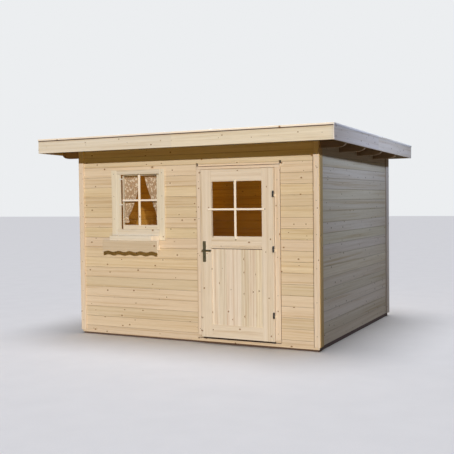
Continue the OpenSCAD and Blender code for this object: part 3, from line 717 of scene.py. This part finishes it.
class SHED_OT_door_fittings(bpy.types.Operator):
    """Glazing bars, pane, dark strips of painted shade, hinges and handle of the door"""

    bl_idname = "shed.door_fittings"
    bl_label = "Door fittings"

    def execute(self, context):
        ease, colours = context.scene.shed_sizes.ease, context.scene.shed_colours
        black = finish("powder_coated_steel", coated, colours.metal, rough=0.42, grit=0.0012, change=0.15)
        self.leaf(ease, black)
        self.joints(colours.tarred)
        self.holes(ease, black)
        self.hinges(colours.trim, black)
        paint("door_glass", finish("float_glass", float_glass, colours.glass))
        paint("curtain_rod", black)
        nickel = finish("dark_nickel", coated, colours.handle, rough=0.36, grit=0.0012, change=0.12,
                        metallic=0.8)
        for node in ("door_handle_plates", "door_lever"):
            paint(node, nickel)
        return {"FINISHED"}

    def leaf(self, ease, black):
        """Glazing bars that lap over the leaf, with screws at two ends, and the bead over the panel with a
        painted shadow under it.
        """
        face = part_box("door_stiles")[0].y
        low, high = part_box("door_glass")
        middle = (low + high) / 2 + Vector((-0.006, 0, -0.005))
        upright, cross, proud_up, proud, lap_up, lap_down = 0.012, 0.011, 0.014, 0.012, 0.012, 0.030
        left, right, bottom = low.x + HOLD - 0.039, high.x - HOLD + 0.028, low.z + HOLD - lap_down
        timber("door_bars", "door", "door_wood", [
            ((middle.x - upright, face - proud_up, bottom),
             (middle.x + upright, face, high.z - HOLD + lap_up), 1),
            ((left, face - proud, middle.z - cross), (middle.x - upright, face, middle.z + cross), 0),
            ((middle.x + upright, face - proud, middle.z - cross), (right, face, middle.z + cross), 0)],
            [wood("bar", X), wood("bar", Z)], ease)

        # The bead in two steps, and under it a dark strip of painted shadow
        inset = Vector((HOLD, 0, HOLD))
        low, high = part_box("door_panel")[0] + inset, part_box("door_panel")[1] - inset
        timber("door_panel_bead", "door", "door_wood", [
            ((low.x, face - 0.008, high.z + 0.0005), (high.x, face, high.z + 0.012), 0),
            ((low.x, face - 0.012, high.z + 0.004), (high.x, face, high.z + 0.009), 0),
            ((low.x, low.y - 0.002, high.z - 0.008), (high.x, low.y, high.z), 1)],
            [wood("door", X), wood("treated", X)], ease)
        sink, beyond, diameter = 0.0003, 0.009, 0.013
        drive_screws("door_screws", "door", [
            (middle.x, face - sink, bottom - beyond), (right + beyond, face - sink, middle.z)],
            (QUARTER, 0.0, 0.0), diameter, black)

    def joints(self, tar):
        """Painted shadow: dark strips under the leaf and its trim, and at the right of the frame and over its
        head.
        """
        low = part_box("front_wall_under_door")[0]
        side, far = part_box("door_frame_left")[0].x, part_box("door_frame_right")[1].x
        sill, trim = low.z + 0.007, 0.063
        timber("door_drip_rail", "shed", "treated_wood", [
            ((side, low.y - 0.003, sill + 0.004), (far, low.y, sill + 0.0105), 0),
            ((side + trim, low.y - 0.004, sill), (far - trim, low.y, sill + 0.022), 0)],
            [finish("tarred_spruce", spruce, tar, X)], 0.0008)
        # Painted shade: dark strips in the gap at the frame's right and in a groove over its head.
        wall, (low, high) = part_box("front_wall_right")[0].y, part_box("door_frame_right")
        head_low, head_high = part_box("door_frame_head")
        proud, deep, wide = 0.0008, 0.002, 0.005
        timber("door_trim_gap", "shed", "treated_wood", [
            ((far, wall - proud, low.z), (far + wide, wall + deep, high.z), 0),
            ((head_low.x, head_low.y - proud, head_high.z - 0.011),
             (head_high.x, head_low.y + deep, head_high.z - 0.005), 0)], [wood("treated", Z)], 0.0)

    def holes(self, ease, black):
        """Painted shade: black sheets in the keyholes on both faces of the leaf, and behind the two notches
        over the door.
        """
        hole = sum(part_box("door_handle_plates"), Vector()) / 2
        under_lever, half, drop, thin, clear = 0.072, 0.0048, 0.015, 0.0002, 0.0003
        hole.z = sum(corner.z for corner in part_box("door_lever")) / 2 - under_lever
        face, inner_face = (corner.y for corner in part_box("door_stiles"))
        timber("keyholes", "door", "black_metal", [
            ((hole.x - half, y - thin, hole.z - drop), (hole.x + half, y + thin, hole.z + half), 0)
            for y in (face - clear, inner_face + clear)], [black], 0.0)
        inner, (low, high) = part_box("front_wall_left")[1].y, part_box("door_frame_head")
        half, deep, clear, tall = 0.022, 0.008, 0.0005, 0.042
        timber("notch_backs", "shed", "black_metal", [
            ((x - half, inner, high.z + clear), (x + half, inner + deep, high.z + tall), 0)
            for x in (low.x, high.x)], [black], ease)

    def hinges(self, colour, black):
        """Black knuckles on straps painted like the trim."""
        painted = finish("painted_strap", coated, colour, rough=0.55, grit=0.002, change=0.05)
        low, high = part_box("door_knuckles")
        radius, play, ease = 0.010, 0.0005, 0.0006
        pin = Vector((high.x - radius, low.y + radius))
        for node, body in (("hinge_brackets", "shed"), ("door_knuckles", "door")):
            hinge = eased_copy(node, body, "black_metal", black, ease)
            second(hinge, painted, lambda part: (part.center.xy - pin).length > radius + play)


class SHED_OT_screws(bpy.types.Operator):
    """Screw heads in fascia, corner trim, door trim and window casing"""

    bl_idname = "shed.screws"
    bl_label = "Screws"

    def execute(self, context):
        sizes, colours = context.scene.shed_sizes, context.scene.shed_colours
        steel = finish("blued_screw", coated, colours.handle, rough=0.40, grit=0.002, change=0.08,
                       metallic=0.8)
        sink, fascia_sink = 0.0003, 0.0022
        front, back, right, left = [], [], [], []

        # Corner trim: at every third board, in both faces
        from_edge, from_front, foot = 0.033, 0.069, 0.12
        for corner in ("front_left", "front_right", "back_left", "back_right"):
            low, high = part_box(f"corner_trim_{corner}")
            heights = [low.z + foot + 3 * sizes.course * step for step in range(6)]
            places, y, middle = back, high.y - sink, high.y - from_front
            if corner.startswith("front"):
                places, y, middle = front, low.y + sink, low.y + from_front
            side, x_side, x = left, low.x + sink, low.x + from_edge
            if corner.endswith("right"):
                side, x_side, x = right, high.x - sink, high.x - from_edge
            places += [(x, y, z) for z in heights]
            side += [(x_side, middle, z) for z in heights]

        # Door trim and window casing
        low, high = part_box("door_frame_left")[0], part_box("door_frame_right")[1]
        from_side, foot, apart = 0.029, 0.10, 0.42
        for x in (low.x + from_side, high.x - from_side):
            front += [(x, low.y + sink, low.z + foot + apart * step) for step in range(5)]
        low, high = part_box("window_casing")
        from_top, apart = 0.045, 0.27
        for x in (low.x + from_edge, high.x - from_edge):
            front += [(x, low.y + sink, high.z - from_top - apart * step) for step in range(3)]

        # Fascia: seven in the front and back, and two at each purlin's ends
        low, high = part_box("fascia_front")
        back_low, back_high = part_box("fascia_back")
        count, from_end = 7, 0.12
        for step in range(count):
            x = low.x + from_end + step * (high.x - low.x - 2 * from_end) / (count - 1)
            front.append((x, low.y + fascia_sink, (low.z + high.z) / 2))
            back.append((x, back_high.y - fascia_sink, (back_low.z + back_high.z) / 2))
        for number in (1, 2, 3, 4):
            low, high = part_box(f"purlin_{number}")
            for offset in (-0.087, -0.023):
                y, z = (low.y + high.y) / 2, high.z + offset
                right.append((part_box("fascia_right")[1].x - sink, y, z))
                left.append((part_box("fascia_left")[0].x + sink, y, z))
        for name, places, turn in (
                ("front", front, (QUARTER, 0.0, 0.0)), ("back", back, (-QUARTER, 0.0, 0.0)),
                ("right", right, (0.0, QUARTER, 0.0)), ("left", left, (0.0, -QUARTER, 0.0))):
            drive_screws(f"screws_{name}", "shed", places, turn, sizes.screw, steel)
        return {"FINISHED"}


class SHED_OT_curtains(bpy.types.Operator):
    """Two lace curtains, gathered on the rod and tied back to the sides of the window"""

    bl_idname = "shed.curtains"
    bl_label = "Curtains"

    def execute(self, context):
        cloth = finish("cotton_lace", lace, context.scene.shed_colours.cloth)
        for node, fall in (("curtain_left", (0.90, 2.0, 0.055, -0.12, -1)),
                           ("curtain_right", (0.66, 1.2, 0.103, 0.30, 1))):
            obj, flat, area = self.hang(node, fall, context.scene.shed_sizes.folds, cloth)
            band = self.band(node, fall, cloth)
            hand_over(band, "shed", "curtain_cloth")
            hand_over(obj, "shed", "curtain_cloth", node)
        return {"FINISHED"}

    def edges(self, node, fall, down):
        """Outer and inner edge of a curtain at a part of its height, 0 at the rod and 1 at the hem.

        fall gives where the tie is, how the cloth sweeps down to it, its width there, how far the tail
        draws in below it, and the side that it is tied to, -1 on the left.
        """
        tie, sweep, gathered, tail, outward = fall
        clear, tail_length = 0.004, 0.25
        low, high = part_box(node)
        outer, inner = (low.x, high.x) if outward < 0 else (high.x, low.x)
        narrow = outer - outward * gathered
        if down < tie:
            pull = (down / tie) ** sweep
        else:
            pull = 1 + tail * math.sin(QUARTER * min(1.0, (down - tie) / tail_length))
        return outer - outward * clear, inner + (narrow - inner) * pull

    def hang(self, node, fall, folds, cloth):
        """The cloth as one mesh, with its flat size and area."""
        low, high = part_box(node)
        middle, length, tie = (low.y + high.y) / 2, high.z - low.z, fall[0]
        columns, rows, hem_width = folds * 12, 72, 3
        deep, drawn, wander, scallop = 0.0085, 0.0015, 0.002, 0.012
        bm = bmesh.new()
        uv = bm.loops.layers.uv.new("Cloth")
        hem_layer = bm.verts.layers.float.new("hem")
        grid = []
        for row in range(rows + 1):
            down = row / rows
            outer, inner = self.edges(node, fall, down)
            depth = deep - drawn * math.exp(-((down - tie) / 0.09) ** 2)
            line = []
            for column in range(columns + 1):
                part = column / columns
                wave = math.sin(2 * math.pi * folds * part + 0.9 * math.sin(5 * down + 3 * part))
                hem = scallop * down ** 6 * abs(math.sin(math.pi * folds * part))
                aside = wander * math.sin(9 * down + 14 * part) * min(part, 1 - part)
                line.append(bm.verts.new((
                    outer + (inner - outer) * part + aside,
                    middle + depth * wave + wander * math.sin(23 * part + 4 * down),
                    high.z - (length - scallop) * down - hem)))
            grid.append(line)
        skin(bm, grid, closed=False)
        area = sum(face.calc_area() for face in bm.faces)
        wide = sum((b.co - a.co).length for a, b in zip(grid[0], grid[0][1:]))
        for row, line in enumerate(grid):
            for column, vert in enumerate(line):
                border = min(columns - column, column, (rows - row) * 2)
                vert[hem_layer] = 1.0 if border < hem_width else 0.0
                for loop in vert.link_loops:
                    loop[uv].uv = (wide * column / columns, length * row / rows)
        bmesh.ops.recalc_face_normals(bm, faces=bm.faces)
        obj = new_object(f"{node}_cloth", bm, cloth)
        obj.data.shade_smooth()
        return obj, (wide, length), min(area, wide * length)

    def band(self, node, fall, cloth):
        """The tie-back: a soft band round the gathered cloth."""
        low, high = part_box(node)
        tie, outward = fall[0], fall[-1]
        outer, inner = self.edges(node, fall, tie)
        middle = Vector(((outer + inner) / 2, (low.y + high.y) / 2, high.z - (high.z - low.z) * tie))
        half_wide, half_deep, slant, steps = abs(outer - inner) / 2 + 0.004, 0.0118, 0.006, 40
        profile = ((-0.011, 0.0), (-0.007, 0.0016), (0.0, 0.0022), (0.007, 0.0016), (0.011, 0.0),
                   (0.0, -0.0006))
        bm = bmesh.new()
        uv = bm.loops.layers.uv.new("Cloth")
        hem_layer = bm.verts.layers.float.new("hem")
        rings = []
        for step in range(steps):
            turn = 2 * math.pi * step / steps
            pucker = 0.0007 * math.sin(10 * turn)
            rings.append([bm.verts.new(middle + Vector((
                (half_wide + out + pucker) * math.cos(turn), (half_deep + out + pucker) * math.sin(turn),
                rise + slant * outward * math.cos(turn)))) for rise, out in profile])
        skin(bm, [*rings, rings[0]])
        bmesh.ops.recalc_face_normals(bm, faces=bm.faces)
        for vert in bm.verts:
            vert[hem_layer] = 1.0
            for loop in vert.link_loops:
                loop[uv].uv = (vert.co.x, vert.co.z)
        obj = new_object(f"{node}_tie", bm, cloth)
        obj.data.shade_smooth()
        return obj


class SHED_OT_roof_felt(bpy.types.Operator):
    """Roofing felt with the laps between its sheets"""

    bl_idname = "shed.roof_felt"
    bl_label = "Roofing felt"

    def execute(self, context):
        sizes = context.scene.shed_sizes
        colour = context.scene.shed_colours.felt
        felt = finish("mineral_felt", coated, colour, rough=0.88, grit=0.004, change=0.30)
        paint("roof_felt", felt)
        low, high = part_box("roof_felt")
        place = Matrix.Translation((low + high) / 2) @ Matrix.Rotation(-sizes.roof_fall, 4, "X")
        from_edge, steps = 0.07, 32
        half, deep = (high.x - low.x) / 2 - from_edge, (high.y - low.y) / 2
        profile = ((0.045, 0.0012), (0.0, 0.0038), (-0.043, 0.0044), (-0.045, 0.0012))
        bm = bmesh.new()
        for number in range(1, int(2 * deep / sizes.felt_sheet) + 1):
            y = deep - number * sizes.felt_sheet
            rings = []
            for step in range(steps + 1):
                x = -half + 2 * half * step / steps
                ripple = 0.004 * math.sin(7 * x + number) + 0.002 * math.sin(19 * x)
                rings.append([
                    bm.verts.new(place @ Vector((x, y + along + ripple, rise))) for along, rise in profile])
            skin(bm, rings)
            bm.faces.new(rings[0])
            bm.faces.new(reversed(rings[-1]))
        bmesh.ops.recalc_face_normals(bm, faces=bm.faces)
        hand_over(new_object("roof_felt_laps", bm, felt), "shed", "roof_felt")
        return {"FINISHED"}


class SHED_OT_stage(bpy.types.Operator):
    """Pale floor, light and the camera"""

    bl_idname = "shed.stage"
    bl_label = "Stage"

    def execute(self, context):
        stage = context.scene.shed_stage
        colour = context.scene.shed_colours.ground
        pale = finish("studio_floor", coated, colour, rough=0.85, grit=0.01, change=0.03)
        bm = bmesh.new()
        bmesh.ops.create_grid(bm, x_segments=8, y_segments=8, size=60.0)
        ground = new_object("studio_floor", bm, pale)
        ground.visible_diffuse = False
        lights = self.lights(context.scene, stage)
        self.spare(lights, ground, self.flag(pale))
        self.backdrop(context.scene, stage)
        self.camera(context.scene, stage)
        context.scene.view_settings.view_transform = "Standard"
        return {"FINISHED"}

    def lights(self, scene, stage):
        """The lights by name, each with its kind, strength, colour and the way its light travels."""
        lights = {}
        for name, kind, strength, colour, travel in (
                ("Key", "SUN", stage.key, "#f4f5fb", (-0.66, 1.0, -0.30)),
                ("Fill", "SUN", stage.fill, "#ffc800", (-0.66, 1.0, 0.07)),
                ("Back", "SUN", stage.back, "#fff6ea", (0.5, -1.0, -0.5)),
                ("Top", "SUN", stage.top, "#eef2ff", (0.0, 0.0, -1.0)),
                ("Side", "AREA", stage.side, "#b4cdff", (-1.0, 0.0, -0.4)),
                ("Room", "POINT", stage.room, "#ffe795", (0.0, 0.0, -1.0))):
            lamp = bpy.data.lights.new(name, kind)
            lamp.energy, lamp.color = strength, linear(colour)
            light = lights[name] = bpy.data.objects.new(name, lamp)
            light.rotation_mode = "QUATERNION"
            light.rotation_quaternion = Vector(travel).to_track_quat("-Z", "Y")
            light.visible_camera = False
            light.visible_glossy = kind == "SUN"
            scene.collection.objects.link(light)
        for name, softness in (("Key", 0.8), ("Fill", 4.0), ("Back", 20.0), ("Top", 40.0)):
            lights[name].data.angle = math.radians(softness)
        strip = lights["Side"].data
        strip.shape, strip.size, strip.size_y = "RECTANGLE", 3.0, 0.15
        lights["Room"].data.shadow_soft_size = 0.3
        lights["Side"].location, lights["Room"].location = (4.0, 0.2, 3.05), (0.0, 0.2, 1.8)
        return lights

    def flag(self, pale):
        """A flag keeps key and fill off the right side, which only the cool light reaches.

        Its edge steps back beside the fascia, whose end stays lit.
        """
        inner, stepped, outer, y, foot, step, top = 2.21, 2.248, 4.6, -2.2, -0.4, 2.385, 3.8
        mesh = bpy.data.meshes.new("flag")
        mesh.from_pydata([(inner, y, foot), (outer, y, foot), (outer, y, top), (stepped, y, top),
                          (stepped, y, step), (inner, y, step)], [], [(0, 1, 2, 3, 4, 5)])
        flag = new_object("studio_flag", mesh, pale)
        flag.visible_camera = flag.visible_diffuse = flag.visible_glossy = flag.visible_transmission = False
        return flag

    def spare(self, lights, ground, flag):
        """Light linking: lights that spare floor and felt, and shadows that floor and flag don't cast."""
        felt = [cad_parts["roof_felt"], bpy.data.objects["roof_felt_laps"]]
        for part, pieces, names in (
                ("receiver_collection", [ground, *felt], ("Key", "Fill", "Side", "Back")),
                ("blocker_collection", [ground], ("Fill",)),
                ("blocker_collection", [flag], ("Top", "Side", "Back", "Room"))):
            spared = bpy.data.collections.new(f"Spared by {part}")
            for number, piece in enumerate(pieces):
                spared.objects.link(piece)
                spared.collection_objects[number].light_linking.link_state = "EXCLUDE"
            for name in names:
                setattr(lights[name].light_linking, part, spared)

    def backdrop(self, scene, stage):
        """The backdrop is pale to the eye, and lights the shed only a little."""
        world = bpy.data.worlds.new("Studio")
        scene.world = world
        world.use_nodes = True
        tree = world.node_tree
        glow = tree.nodes["Background"]
        plug(tree, glow, {"Color": tinted(linear("#efe0c6")), "Strength": stage.sky})
        pale = add(tree, "ShaderNodeBackground", Color=tinted(linear("#eceef0")))
        seen = add(tree, "ShaderNodeLightPath").outputs["Is Camera Ray"]
        both = add(tree, "ShaderNodeMixShader", seen, glow, pale)
        plug(tree, tree.nodes["World Output"], {"Surface": both})

    def camera(self, scene, stage):
        """The camera, as the photograph was taken."""
        lens = bpy.data.cameras.new("Photo")
        lens.sensor_width, lens.lens, lens.clip_end = 36.0, stage.lens, 500.0
        camera = bpy.data.objects.new("Photo", lens)
        turn = Matrix.Rotation(stage.yaw, 4, "Z") @ Matrix.Rotation(QUARTER - stage.pitch, 4, "X")
        turn @= Matrix.Rotation(stage.roll, 4, "Z")
        camera.matrix_world = Matrix.Translation(stage.camera_at) @ turn
        scene.collection.objects.link(camera)
        scene.camera = camera


OPERATORS = (
    SHED_OT_board_walls, SHED_OT_planed_timber, SHED_OT_window, SHED_OT_door_fittings, SHED_OT_screws,
    SHED_OT_curtains, SHED_OT_roof_felt, SHED_OT_stage,
)


class SHED_PT_panel(bpy.types.Panel):
    """Lists the shed's sizes, colours and the steps that dress it"""

    bl_idname = "SHED_PT_panel"
    bl_label = "Garden shed"
    bl_space_type = "VIEW_3D"
    bl_region_type = "UI"
    bl_category = "Shed"

    def draw(self, context):
        for group in (context.scene.shed_sizes, context.scene.shed_colours, context.scene.shed_stage):
            column = self.layout.column(align=True)
            for name in group.__annotations__:
                column.prop(group, name)
        for operator in OPERATORS:
            self.layout.operator(operator.bl_idname)


GROUPS = {"shed_sizes": ShedSizes, "shed_colours": ShedColours, "shed_stage": ShedStage}
CLASSES = (*GROUPS.values(), *OPERATORS, SHED_PT_panel)


def register():
    """Registers the classes and puts the settings on the scene."""
    for made in CLASSES:
        bpy.utils.register_class(made)
    for name, group in GROUPS.items():
        setattr(bpy.types.Scene, name, PointerProperty(type=group))


def unregister():
    """Takes the settings and classes away."""
    for name in GROUPS:
        delattr(bpy.types.Scene, name)
    for made in reversed(CLASSES):
        bpy.utils.unregister_class(made)


def main():
    """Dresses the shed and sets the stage."""
    register()
    bpy.ops.shed.board_walls()
    bpy.ops.shed.planed_timber()
    bpy.ops.shed.window()
    bpy.ops.shed.door_fittings()
    bpy.ops.shed.screws()
    bpy.ops.shed.curtains()
    bpy.ops.shed.roof_felt()
    bpy.ops.shed.stage()


if __name__ == "__main__":
    main()
